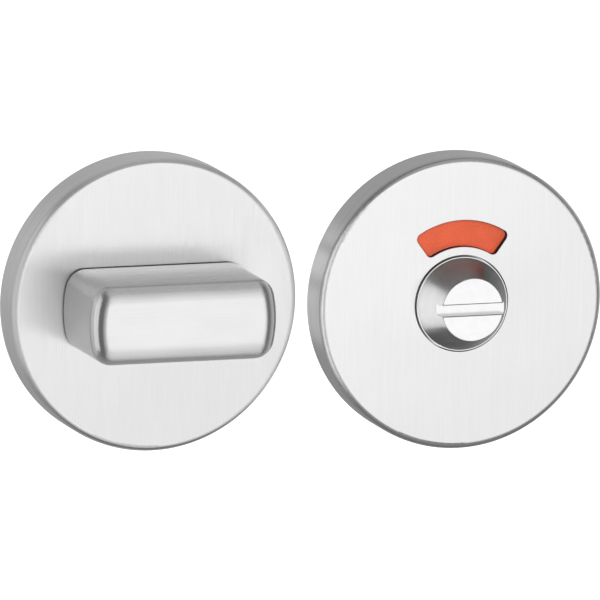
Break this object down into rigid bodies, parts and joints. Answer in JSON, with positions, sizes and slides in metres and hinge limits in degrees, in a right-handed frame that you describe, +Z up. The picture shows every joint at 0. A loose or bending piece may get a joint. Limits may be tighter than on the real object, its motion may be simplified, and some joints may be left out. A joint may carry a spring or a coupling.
{
  "type": "bathroom thumb turn lock",
  "caption": "Bathroom door lock set: a round satin steel rose with a bar-shaped thumb turn, and a matching rose with a coin slot release and a red indicator window.",
  "frame": {"origin": "on the thumb turn's axis, in the plane of the door's face at the back of the turn half's rose", "axes": "+Y points into the door, away from the face that the picture shows, +X runs from the turn half to the release half, +Z is up"},
  "size_m": [0.1083, 0.0713, 0.0543],
  "materials": {
    "satin_steel": "satin brushed stainless steel",
    "polished_metal": "polished bright metal",
    "plated_steel": "zinc plated steel",
    "spring_steel": "bare spring steel",
    "black_steel": "blackened steel",
    "dark_nylon": "moulded dark nylon",
    "natural_nylon": "natural nylon",
    "white_plastic": "moulded white plastic",
    "red_foil": "matte orange red foil",
    "brass": "turned brass"
  },
  "bodies": {
    "roses": {"turn_cover": "satin_steel", "turn_backplate": "dark_nylon", "turn_bush": "natural_nylon", "turn_wave_washer": "spring_steel", "fixing_bolts": "plated_steel", "release_cover": "satin_steel", "release_backplate": "dark_nylon", "release_wave_spring": "spring_steel", "threaded_inserts": "brass"},
    "turn": {"thumb_turn": "satin_steel", "turn_thrust_washer": "plated_steel", "turn_circlip": "spring_steel", "spindle": "plated_steel", "spindle_set_screw": "black_steel"},
    "release": {"coin_release": "polished_metal", "indicator_disc": "white_plastic", "indicator_red_fields": "red_foil", "release_circlip": "spring_steel"}
  },
  "joints": [
    {"name": "turn_rotation", "type": "hinge", "parent": "roses", "child": "turn", "pos_m": [0, 0, 0], "axis": [0, 1, 0], "range_deg": [0, 90]},
    {"name": "release_rotation", "type": "hinge", "parent": "roses", "child": "release", "pos_m": [0.0563, 0, -0.0023], "axis": [0, 1, 0], "range_deg": [-90, 0]}
  ],
  "couplings": [
    {"joint": "release_rotation", "follows": "turn_rotation", "ratio": -1}
  ]
}
